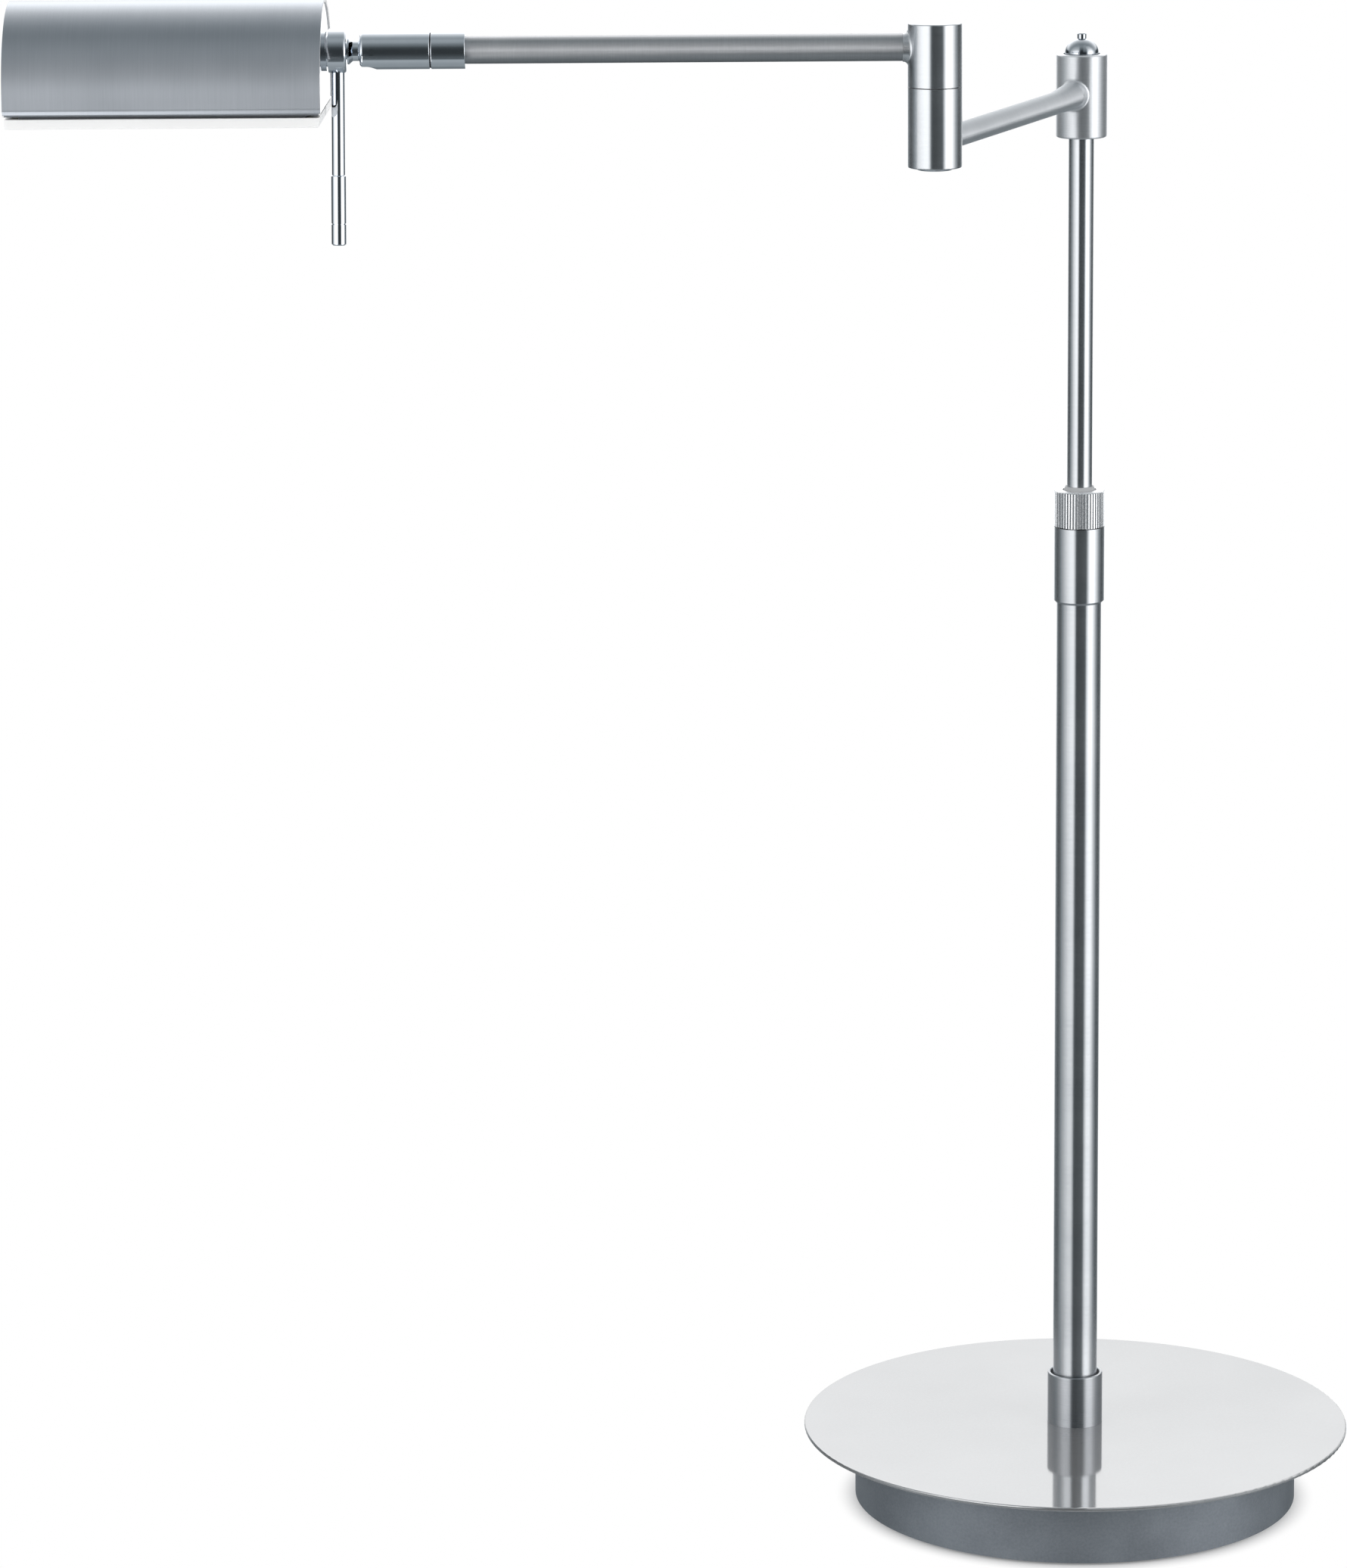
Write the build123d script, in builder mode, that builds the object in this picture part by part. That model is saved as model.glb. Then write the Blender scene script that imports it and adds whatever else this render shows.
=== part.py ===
"""Swing-arm pharmacy lamp: weighted base, telescopic column, two arms and a half-round shade.

The origin is on the floor under the column. +Z is up, and the long arm runs along -X.
All sizes are in millimetres.
"""
import os
from math import cos, radians, sin

from build123d import *

# Clearances
running_gap = 0.06
seat_gap = 0.02
face_gap = 0.1
thrust_gap = 0.2

# Base
base_radius = 105.0
base_top_thickness = 1.6
base_edge_round = 0.6
drum_radius = 85.2
drum_height = 27.0
drum_wall = 1.5
drum_ground_gap = 0.8
pad_thickness = 1.2
pad_inset = 3.0
cover_thickness = 1.5
cover_screw_circle = 42.0
cover_screw_count = 3
cover_screw_radius = 2.0
cover_screw_head_radius = 3.8
cover_screw_length = 9.0
ballast_thickness = 12.0
ballast_inset = 4.0
ballast_boss_radius = 6.0
driver_length = 52.0
driver_width = 26.0
driver_height = 9.5
driver_offset = 46.0
driver_corner_round = 1.2
gland_height = 13.0
gland_bore_radius = 2.6
gland_neck_radius = 4.6
gland_flange_radius = 6.4
gland_flange_thickness = 2.2
gland_edge_round = 0.7
gland_lip = 0.7
gland_lip_thickness = 1.5

# Column
nipple_radius = 5.0
nipple_bore_radius = 3.6
nipple_engagement = 12.0
nut_thickness = 5.0
nut_across_flats = 16.0
washer_thickness = 1.5
washer_radius = 12.0
tube_radius = 8.45
tube_wall = 1.5
tube_length = 344.1
plug_length = 16.0
collar_radius = 10.6
collar_height = 20.0
collar_mouth_depth = 6.0
collar_mouth_gap = 0.95
collar_rim_round = 0.6
sleeve_radius = 9.5
sleeve_overlap = 20.5
sleeve_head = 8.5
sleeve_chamfer = 0.95
spigot_radius = 7.2
spigot_length = 10.6
bush_radius = 6.0
bush_tail = 6.0
bush_lip_height = 1.3
bush_lip_taper = 0.7
ring_radius = 9.65
ring_height = 13.65
ring_lift = 0.4
ring_top_wall = 2.9
ring_top_gap = 0.35
ring_chamfer = 0.5
flute_count = 54
flute_radius = 0.45
flute_depth = 0.26

# Post and hub
rod_radius = 4.75
rod_wall = 1.3
rod_exposed = 132.9
rod_hidden = 204.0
guide_length = 12.0
spindle_radius = 3.5
spindle_bore_radius = 2.3
hub_radius = 9.5
hub_height = 30.9
hub_edge_round = 0.7
hub_shoulder_height = 19.75
hub_washer_thickness = 0.5
dome_recess_depth = 1.0
dome_recess_gap = 0.55
dome_radius = 6.3
dome_skirt = 1.3
dome_rise = 5.3
dome_cavity_radius = 3.2
dome_cavity_height = 4.4
button_radius = 1.7
button_height = 1.8
button_round = 0.55
button_flange_radius = 2.6
button_flange_thickness = 0.8
button_travel = 1.2
switch_length = 7.0
switch_plunger_radius = 1.1

# Short arm and elbow
short_arm_radius = 4.1
arm_wall = 1.0
arm_socket_depth = 2.0
weld_reach = 1.6
weld_thickness = 0.3
weld_round = 1.3
swell_radius = 5.7
swell_rise = 1.2
swell_seat = 2.5
swell_length = 21.5
swell_sink = 0.1
swell_round = 1.4
short_arm_length = 153.8
short_arm_heading = 248.05
short_arm_height = 15.5
wire_radius = 2.4
elbow_radius = 9.6
elbow_lower_height = 28.1
elbow_lower_below = 8.65
elbow_upper_height = 22.1
elbow_edge_round = 0.5
elbow_seam = 0.35
elbow_pin_radius = 5.5
elbow_pin_length = 22.0
elbow_cup_radius = 7.0
elbow_washer_inset = 1.2
retainer_thickness = 1.2
retainer_inset = 0.6
elbow_screw_radius = 2.0
elbow_screw_head_radius = 3.6
elbow_screw_head_height = 2.0
elbow_screw_depth = 12.0
elbow_cap_thickness = 1.8
elbow_cap_bulge = 0.9
elbow_cap_round = 0.45

# Long arm and coupling
arm_radius = 4.8
long_arm_height = 13.55
ferrule_start = 163.65
ferrule_length = 12.0
ferrule_floor = 2.5
coupling_radius = 6.55
coupling_seam = 0.4
coupling_length = 24.5
coupling_back_wall = 4.6
coupling_bore_radius = 5.95
coupling_edge_round = 0.25
coupling_mouth_round = 1.2
swivel_radius = 4.0
swivel_screw_radius = 1.6
swivel_flange_radius = 5.0
swivel_flange_thickness = 1.0
swivel_head_radius = 2.8
swivel_head_height = 1.6
pivot_setback = 4.2
knuckle_pin_radius = 1.2
knuckle_pin_inset = 0.15

# Stem, shade hub and lever
ball_radius = 5.85
neck_radius = 3.55
slot_gap = 0.4
tilt_range = 70.0
stem_flange_start = 7.9
stem_flange_thickness = 0.6
stem_flange_radius = 4.75
stem_flare = 1.3
stem_pin_radius = 3.0
stem_nut_thickness = 3.4
stem_nut_across_flats = 9.0
stem_washer_thickness = 0.6
stem_washer_radius = 4.8
shade_hub_radius = 7.65
shade_hub_thickness = 6.4
shade_hub_round = 1.1
hub_boss_radius = 5.5
hub_groove = 0.55
hub_flange_radius = 7.0
hub_flange_thickness = 1.0
lever_radius = 2.36
lever_lean = 0.8
lever_length = 35.7
lever_socket_depth = 1.6
lever_pin_radius = 1.5
lever_pin_length = 16.0
grip_radius = 2.64
grip_length = 24.8
grip_groove_height = 7.75
grip_groove_width = 0.4
grip_groove_depth = 0.25
grip_chamfer = 0.45

# Shade
shade_radius = 31.0
shade_length = 110.1
shade_wall = 1.0
shade_skirt = 3.6
shade_drop = 12.9
hem_radius = 3.0
hem_turn = 60.0
plate_recess = 0.4
plate_thickness = 1.2
plate_rim_wall = 0.8
plate_rim_depth = 5.0
diffuser_shadow_gap = 0.8
diffuser_lip_height = 3.4
diffuser_inset = 0.6
diffuser_wall = 1.3
diffuser_rim_height = 4.5
lamp_bar_half_width = 11.0
lamp_bar_depth = 5.0
light_board_thickness = 1.6
light_board_margin = 2.0
light_dot_size = 3.0
light_dot_height = 0.8
light_dot_count = 12

# Heights along the column
base_height = drum_ground_gap + drum_height + base_top_thickness
drum_top = drum_ground_gap + drum_height
cover_top = pad_thickness + cover_thickness
ballast_top = drum_top - drum_wall
ballast_bottom = ballast_top - ballast_thickness
tube_top = base_height + tube_length
sleeve_bottom = tube_top - sleeve_overlap
sleeve_shoulder = tube_top + sleeve_head
spigot_top = sleeve_shoulder + spigot_length
ring_bottom = sleeve_shoulder + ring_lift
ring_top = ring_bottom + ring_height
hub_bottom = ring_top + rod_exposed
hub_top = hub_bottom + hub_height
hub_shoulder = hub_bottom + hub_shoulder_height
rod_shoulder = hub_shoulder - hub_washer_thickness - face_gap
rod_bottom = ring_top - rod_hidden
dome_seat = hub_top - dome_recess_depth
dome_bottom = dome_seat + thrust_gap
dome_top = dome_bottom + dome_skirt + dome_rise
short_arm_z = hub_bottom + short_arm_height
elbow_bottom = short_arm_z - elbow_lower_below
elbow_split = elbow_bottom + elbow_lower_height
elbow_upper_bottom = elbow_split + elbow_seam
elbow_pin_bottom = elbow_upper_bottom - elbow_pin_length
elbow_cup_floor = elbow_pin_bottom + face_gap
long_arm_z = elbow_upper_bottom + long_arm_height

# Planes: each looks along the axis of the pieces built on it
column = Plane.XY
heading = Vector(cos(radians(short_arm_heading)), sin(radians(short_arm_heading)), 0)
elbow_centre = heading * short_arm_length
elbow = Plane(origin=(elbow_centre.X, elbow_centre.Y, 0))
short_line = Plane(origin=(0, 0, short_arm_z), x_dir=(-heading.Y, heading.X, 0), z_dir=heading)
long_line = Plane(origin=(elbow_centre.X, elbow_centre.Y, long_arm_z), x_dir=(0, -1, 0), z_dir=(-1, 0, 0))
gland_line = Plane(origin=(0, 0, gland_height), x_dir=(-1, 0, 0), z_dir=(0, 1, 0))

# Places along the long arm, measured from the elbow's axis
ferrule_end = ferrule_start + ferrule_length
arm_end = ferrule_end - ferrule_floor
coupling_start = ferrule_end + coupling_seam
coupling_end = coupling_start + coupling_length
coupling_floor = coupling_start + coupling_back_wall
swivel_end = coupling_floor + face_gap
pivot = coupling_end - pivot_setback
stem_flange_end = pivot + stem_flange_start + stem_flange_thickness
shade_hub_start = stem_flange_end + thrust_gap
shade_hub_end = shade_hub_start + shade_hub_thickness
hub_flange_start = shade_hub_end + hub_groove
inner_plate_face = hub_flange_start + hub_flange_thickness
shade_start = inner_plate_face - plate_recess
shade_end = shade_start + shade_length
outer_plate_face = shade_end - plate_recess
hub_boss_end = inner_plate_face + plate_thickness
stem_washer_start = hub_boss_end + face_gap
stem_nut_start = stem_washer_start + stem_washer_thickness
stem_end = stem_nut_start + stem_nut_thickness

# The lever hangs from the middle of the shade hub, and leans a little towards the shade
lever_centre = (shade_hub_start + shade_hub_end) / 2
lever_fall = Vector(-sin(radians(lever_lean)), 0, -cos(radians(lever_lean)))
lever_line = Plane(
    origin=(elbow_centre.X - lever_centre, elbow_centre.Y, long_arm_z), x_dir=(0, -1, 0), z_dir=lever_fall
)
lever_seat = shade_hub_radius - lever_socket_depth
lever_step = shade_hub_radius + lever_length
grip_end = lever_step + grip_length

ALONG = (Align.CENTER, Align.CENTER, Align.MIN)
CUT = Mode.SUBTRACT


def bar(plane, start, end, radius, mode=Mode.ADD):
    """Add or cut a round bar along a plane's axis, in the part being built."""
    with Locations(plane.offset(start)):
        Cylinder(radius, end - start, align=ALONG, mode=mode)


def tube(plane, start, end, outer, inner):
    """Add a round tube along a plane's axis, in the part being built."""
    bar(plane, start, end, outer)
    bar(plane, start, end, inner, CUT)


def hexagon(plane, start, end, across_flats, bore):
    """Add a six-sided nut along a plane's axis, in the part being built."""
    with BuildSketch(plane.offset(start)) as outline:
        RegularPolygon(across_flats / 2, 6, major_radius=False)
        Circle(bore, mode=CUT)
    extrude(outline.sketch, amount=end - start)


def weld(part, line, barrel_radius, radius):
    """Run a soft bead round the foot of an arm that leaves a barrel along a line."""
    bar(line, 0, barrel_radius + weld_reach, radius + weld_thickness)
    curved = part.edges().filter_by(GeomType.LINE, reverse=True).filter_by(GeomType.CIRCLE, reverse=True)
    fillet(curved, weld_round)


def arm_socket(line, barrel_radius, reach, radius):
    """Cut the seat of an arm's end, and the way for the wires behind it."""
    bar(line, barrel_radius - arm_socket_depth, barrel_radius + reach, radius + seat_gap, CUT)
    bar(line, 0, barrel_radius, wire_radius, CUT)


def swell(start, end):
    """Add a length of the short arm's thickened foot, in the part being built: it stands highest at the hub."""
    foot_end = hub_radius + swell_length
    with BuildSketch(short_line) as foot:
        with Locations((0, swell_rise)):
            Circle(swell_radius)
    with BuildSketch(short_line.offset(foot_end)) as tip:
        Circle(short_arm_radius - swell_sink)
    thickened = loft([foot.sketch, tip.sketch], mode=Mode.PRIVATE)
    with BuildSketch(short_line.offset(start)) as window:
        Circle(swell_radius + swell_rise)
    stretch = extrude(window.sketch, amount=end - start, mode=Mode.PRIVATE)
    add(thickened & stretch)


def shade_outline(depth, bottom):
    """Draw the shade's section, in the sketch being built, at a depth under its outer face.

    It is a half round with straight skirts and hems that turn inwards, closed straight down to its bottom.
    """
    radius = shade_radius - depth
    hem = hem_radius - depth
    hem_side = radius - hem + hem * cos(radians(hem_turn))
    hem_low = shade_skirt + hem * sin(radians(hem_turn))
    with BuildLine() as outline:
        RadiusArc((-radius, 0), (radius, 0), radius)
        for side in (-1, 1):
            Line((side * radius, 0), (side * radius, -shade_skirt))
            TangentArc((side * radius, -shade_skirt), (side * hem_side, -hem_low), tangent=(0, -1))
            if bottom > hem_low:
                Line((side * hem_side, -hem_low), (side * hem_side, -bottom))
        Line((-hem_side, -bottom), (hem_side, -bottom))
    make_face(outline.edges())


def shade_plane(place):
    """The plane across the shade, with its origin on the centre of the half round."""
    return Plane(long_line.offset(place).origin - Vector(0, 0, shade_drop), long_line.x_dir, long_line.z_dir)


pieces = {}

# Base
with BuildPart() as base_top:
    bar(column, drum_top, base_height, base_radius)
    bar(column, drum_top, base_height, nipple_radius + seat_gap, CUT)
    rim = base_top.edges().filter_by(GeomType.CIRCLE).sort_by(SortBy.RADIUS)[-2:]
    fillet(rim, base_edge_round)
pieces["base_top"] = base_top

with BuildPart() as base_drum:
    bar(column, drum_ground_gap, drum_top, drum_radius)
    bar(column, drum_ground_gap, ballast_top, drum_radius - drum_wall, CUT)
    bar(column, ballast_top, drum_top, nipple_radius + seat_gap, CUT)
    bar(gland_line, 0, drum_radius, gland_neck_radius + seat_gap, CUT)
pieces["base_drum"] = base_drum

ballast_radius = drum_radius - drum_wall - ballast_inset
with BuildPart() as ballast:
    bar(column, ballast_bottom, ballast_top, ballast_radius)
    with PolarLocations(cover_screw_circle, cover_screw_count):
        with Locations((0, 0, cover_top)):
            Cylinder(ballast_boss_radius, ballast_bottom - cover_top, align=ALONG)
            Cylinder(cover_screw_radius + seat_gap, cover_screw_length, align=ALONG, mode=CUT)
    bar(column, ballast_bottom, ballast_top, nipple_radius + seat_gap, CUT)
pieces["ballast"] = ballast

screw_cone = cover_screw_head_radius - cover_screw_radius
with BuildPart() as bottom_cover:
    bar(column, pad_thickness, cover_top, drum_radius - drum_wall - seat_gap)
    with PolarLocations(cover_screw_circle, cover_screw_count):
        with Locations((0, 0, pad_thickness)):
            Cylinder(cover_screw_radius + seat_gap, cover_thickness, align=ALONG, mode=CUT)
            Cone(
                cover_screw_head_radius + seat_gap,
                cover_screw_radius + seat_gap,
                min(screw_cone, cover_thickness),
                align=ALONG,
                mode=CUT,
            )
pieces["bottom_cover"] = bottom_cover

with BuildPart() as cover_screws:
    with PolarLocations(cover_screw_circle, cover_screw_count):
        with Locations((0, 0, pad_thickness)):
            Cone(
                cover_screw_head_radius,
                cover_screw_radius,
                min(screw_cone, cover_thickness),
                align=ALONG,
            )
            Cylinder(cover_screw_radius, cover_screw_length, align=ALONG)
pieces["cover_screws"] = cover_screws

pad_radius = drum_radius - drum_wall - pad_inset
with BuildPart() as foot_pad:
    bar(column, 0, pad_thickness, pad_radius)
pieces["foot_pad"] = foot_pad

with BuildPart() as driver:
    with Locations((-driver_offset, 0, ballast_bottom - driver_height)):
        Box(driver_width, driver_length, driver_height, align=ALONG)
    fillet(driver.edges().filter_by(Axis.Z), driver_corner_round)
pieces["driver"] = driver

# The wall is curved, so the lip behind it starts where the wall's inside face is nearest
gland_lip_radius = gland_neck_radius + gland_lip
inner_wall_radius = drum_radius - drum_wall
gland_lip_face = (inner_wall_radius**2 - gland_lip_radius**2) ** 0.5 - face_gap
with BuildPart() as cord_gland:
    bar(gland_line, gland_lip_face - gland_lip_thickness, gland_lip_face, gland_lip_radius)
    bar(gland_line, gland_lip_face, drum_radius, gland_neck_radius)
    bar(gland_line, drum_radius, drum_radius + gland_flange_thickness, gland_flange_radius)
    fillet(cord_gland.edges().group_by(Axis.Y)[-1], gland_edge_round)
    bar(
        gland_line,
        gland_lip_face - gland_lip_thickness,
        drum_radius + gland_flange_thickness,
        gland_bore_radius,
        CUT,
    )
pieces["cord_gland"] = cord_gland

# Column
tube_bore_radius = tube_radius - tube_wall
nut_bottom = ballast_bottom - washer_thickness - nut_thickness
with BuildPart() as base_nipple:
    tube(column, nut_bottom, base_height + nipple_engagement, nipple_radius, nipple_bore_radius)
pieces["base_nipple"] = base_nipple

with BuildPart() as base_washer:
    tube(column, ballast_bottom - washer_thickness, ballast_bottom, washer_radius, nipple_radius + seat_gap)
pieces["base_washer"] = base_washer

with BuildPart() as base_nut:
    hexagon(column, nut_bottom, nut_bottom + nut_thickness, nut_across_flats, nipple_radius + seat_gap)
pieces["base_nut"] = base_nut

with BuildPart() as tube_plug:
    tube(column, base_height, base_height + plug_length, tube_bore_radius - seat_gap, nipple_radius + seat_gap)
pieces["tube_plug"] = tube_plug

with BuildPart() as lower_tube:
    tube(column, base_height, tube_top, tube_radius, tube_bore_radius)
pieces["lower_tube"] = lower_tube

# The collar's mouth stands clear of the tube, and its rim is rounded both ways
collar_top = base_height + collar_height
collar_mouth_radius = tube_radius + collar_mouth_gap
collar_rim_limit = 0.48 * (collar_radius - collar_mouth_radius)
with BuildPart() as base_collar:
    bar(column, base_height, collar_top, collar_radius)
    bar(column, base_height, collar_top, tube_radius + seat_gap, CUT)
    bar(column, collar_top - collar_mouth_depth, collar_top, collar_mouth_radius, CUT)
    fillet(base_collar.edges().group_by(Axis.Z)[-1], min(collar_rim_round, collar_rim_limit))
pieces["base_collar"] = base_collar

with BuildPart() as top_sleeve:
    bar(column, sleeve_bottom, sleeve_shoulder, sleeve_radius)
    chamfer(top_sleeve.edges().group_by(Axis.Z)[0], sleeve_chamfer)
    bar(column, sleeve_shoulder, spigot_top, spigot_radius)
    bar(column, sleeve_bottom, tube_top, tube_radius + seat_gap, CUT)
    bar(column, tube_top, spigot_top, bush_radius + seat_gap, CUT)
pieces["top_sleeve"] = top_sleeve

with BuildPart() as rod_bush:
    bar(column, tube_top - bush_tail, ring_top, bush_radius)
    with Locations(column.offset(ring_top)):
        Cone(bush_radius, bush_radius - bush_lip_taper, bush_lip_height, align=ALONG)
    bar(column, tube_top - bush_tail, ring_top + bush_lip_height, rod_radius + running_gap, CUT)
pieces["rod_bush"] = rod_bush

# Clamp ring
with BuildPart() as clamp_ring:
    with BuildSketch(column.offset(ring_bottom)):
        Circle(ring_radius)
        with PolarLocations(ring_radius + flute_radius - flute_depth, flute_count):
            Circle(flute_radius, mode=CUT)
    extrude(amount=ring_height)
    with BuildSketch(Plane.XZ):
        with BuildLine():
            Polyline(
                (ring_radius - ring_chamfer, ring_top),
                (ring_radius, ring_top),
                (ring_radius, ring_top - ring_chamfer),
                close=True,
            )
        make_face()
    revolve(axis=Axis.Z, mode=CUT)
    bar(column, ring_bottom, ring_top - ring_top_wall, spigot_radius + running_gap, CUT)
    bar(column, ring_top - ring_top_wall, ring_top, bush_radius + ring_top_gap, CUT)
pieces["clamp_ring"] = clamp_ring

# Post
rod_bore_radius = rod_radius - rod_wall
with BuildPart() as post_rod:
    bar(column, rod_bottom, rod_shoulder, rod_radius)
    bar(column, rod_shoulder, dome_bottom, spindle_radius)
    bar(column, rod_bottom, rod_shoulder - rod_wall, rod_bore_radius, CUT)
    bar(column, rod_shoulder - rod_wall, dome_bottom, spindle_bore_radius, CUT)
pieces["post_rod"] = post_rod

with BuildPart() as rod_guide:
    tube(
        column,
        rod_bottom,
        rod_bottom + guide_length,
        tube_bore_radius - running_gap,
        rod_radius + seat_gap,
    )
pieces["rod_guide"] = rod_guide

with BuildPart() as hub_washer:
    tube(
        column,
        rod_shoulder,
        rod_shoulder + hub_washer_thickness,
        rod_radius,
        spindle_radius + seat_gap,
    )
pieces["hub_washer"] = hub_washer

cavity_top = dome_bottom + dome_cavity_height
with BuildPart() as dome_cap:
    with BuildSketch(Plane.XZ) as half_section:
        with BuildLine():
            Line((0, dome_bottom), (dome_radius, dome_bottom))
            Line((dome_radius, dome_bottom), (dome_radius, dome_bottom + dome_skirt))
            EllipticalCenterArc((0, dome_bottom + dome_skirt), dome_radius, dome_rise, 0, arc_size=90)
            Line((0, dome_top), (0, dome_bottom))
        make_face()
    revolve(axis=Axis.Z)
    bar(column, dome_bottom, cavity_top, dome_cavity_radius, CUT)
    bar(column, cavity_top, dome_top, button_radius + running_gap, CUT)
pieces["dome_cap"] = dome_cap

flange_top = cavity_top - face_gap
flange_bottom = flange_top - button_flange_thickness
plunger_top = flange_bottom - button_travel - face_gap
with BuildPart() as switch_body:
    bar(column, dome_bottom - switch_length, dome_bottom, spindle_bore_radius - seat_gap)
    bar(column, dome_bottom, plunger_top, switch_plunger_radius)
pieces["switch_body"] = switch_body

# Button
with BuildPart() as button:
    bar(column, flange_top, dome_top + button_height, button_radius)
    fillet(button.edges().group_by(Axis.Z)[-1], button_round)
    bar(column, flange_bottom, flange_top, button_flange_radius)
pieces["button"] = button

# Short swing arm
swell_end = hub_radius + swell_seat
with BuildPart() as hub_barrel:
    bar(column, hub_bottom, hub_top, hub_radius)
    swell(0, swell_end)
    fillet(hub_barrel.edges().filter_by(GeomType.BSPLINE).sort_by(SortBy.LENGTH)[-1], swell_round)
    fillet(hub_barrel.edges().group_by(Axis.Z)[0] + hub_barrel.edges().group_by(Axis.Z)[-1], hub_edge_round)
    bar(column, dome_seat, hub_top, dome_radius + dome_recess_gap, CUT)
    bar(column, hub_bottom, hub_shoulder, rod_radius + running_gap, CUT)
    bar(column, hub_shoulder, dome_seat, spindle_radius + running_gap, CUT)
    arm_socket(short_line, hub_radius, swell_seat, short_arm_radius)
pieces["hub_barrel"] = hub_barrel

short_arm_end = short_arm_length - elbow_radius + arm_socket_depth
with BuildPart() as short_arm:
    bar(short_line, hub_radius - arm_socket_depth, short_arm_end, short_arm_radius)
    swell(swell_end + seat_gap, hub_radius + swell_length)
    bar(short_line, hub_radius - arm_socket_depth, short_arm_end, short_arm_radius - arm_wall, CUT)
pieces["short_arm"] = short_arm

# The same line seen from the elbow
elbow_line = Plane(
    origin=(elbow_centre.X, elbow_centre.Y, short_arm_z), x_dir=(heading.Y, -heading.X, 0), z_dir=-heading
)
with BuildPart() as elbow_lower:
    bar(elbow, elbow_bottom, elbow_split, elbow_radius)
    weld(elbow_lower, elbow_line, elbow_radius, short_arm_radius)
    fillet(elbow_lower.edges().group_by(Axis.Z)[0], elbow_edge_round)
    bar(elbow, elbow_bottom, elbow_cup_floor, elbow_cup_radius, CUT)
    bar(elbow, elbow_cup_floor, elbow_split, elbow_pin_radius + running_gap, CUT)
    arm_socket(elbow_line, elbow_radius, weld_reach, short_arm_radius)
pieces["elbow_lower"] = elbow_lower

with BuildPart() as elbow_cap:
    bar(elbow, elbow_bottom, elbow_bottom + elbow_cap_thickness, elbow_cup_radius - seat_gap)
    with Locations(elbow.offset(elbow_bottom)):
        Cone(
            elbow_cup_radius - elbow_cap_bulge,
            elbow_cup_radius - seat_gap,
            elbow_cap_bulge,
            align=(Align.CENTER, Align.CENTER, Align.MAX),
        )
    fillet(elbow_cap.edges().group_by(Axis.Z)[0], elbow_cap_round)
pieces["elbow_cap"] = elbow_cap

# Long arm
with BuildPart() as elbow_upper:
    bar(elbow, elbow_upper_bottom, elbow_upper_bottom + elbow_upper_height, elbow_radius)
    weld(elbow_upper, long_line, elbow_radius, arm_radius)
    fillet(elbow_upper.edges().group_by(Axis.Z)[-1], elbow_edge_round)
    bar(elbow, elbow_pin_bottom, elbow_upper_bottom, elbow_pin_radius)
    bar(elbow, elbow_pin_bottom, elbow_pin_bottom + elbow_screw_depth, elbow_screw_radius + seat_gap, CUT)
    bar(long_line, elbow_radius - arm_socket_depth, elbow_radius + weld_reach, arm_radius + seat_gap, CUT)
pieces["elbow_upper"] = elbow_upper

with BuildPart() as elbow_washer:
    tube(
        elbow,
        elbow_split + face_gap,
        elbow_upper_bottom,
        elbow_radius - elbow_washer_inset,
        elbow_pin_radius + seat_gap,
    )
pieces["elbow_washer"] = elbow_washer

with BuildPart() as elbow_retainer:
    tube(
        elbow,
        elbow_pin_bottom - retainer_thickness,
        elbow_pin_bottom,
        elbow_cup_radius - retainer_inset,
        elbow_screw_radius + seat_gap,
    )
pieces["elbow_retainer"] = elbow_retainer

screw_seat = elbow_pin_bottom - retainer_thickness
with BuildPart() as elbow_screw:
    bar(elbow, screw_seat - elbow_screw_head_height, screw_seat, elbow_screw_head_radius)
    bar(elbow, screw_seat, elbow_pin_bottom + elbow_screw_depth, elbow_screw_radius)
pieces["elbow_screw"] = elbow_screw

with BuildPart() as long_arm:
    tube(long_line, elbow_radius - arm_socket_depth, arm_end, arm_radius, arm_radius - arm_wall)
pieces["long_arm"] = long_arm

with BuildPart() as arm_ferrule:
    bar(long_line, ferrule_start, ferrule_end, coupling_radius)
    fillet(arm_ferrule.edges().filter_by(GeomType.CIRCLE), coupling_edge_round)
    bar(long_line, ferrule_end, swivel_end, swivel_radius)
    bar(long_line, ferrule_start, arm_end, arm_radius + seat_gap, CUT)
    bar(long_line, arm_end, swivel_end, swivel_screw_radius + seat_gap, CUT)
pieces["arm_ferrule"] = arm_ferrule

swivel_flange_end = swivel_end + swivel_flange_thickness
with BuildPart() as swivel_screw:
    bar(long_line, arm_end, swivel_end, swivel_screw_radius)
    bar(long_line, swivel_end, swivel_flange_end, swivel_flange_radius)
    bar(long_line, swivel_flange_end, swivel_flange_end + swivel_head_height, swivel_head_radius)
pieces["swivel_screw"] = swivel_screw

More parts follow.
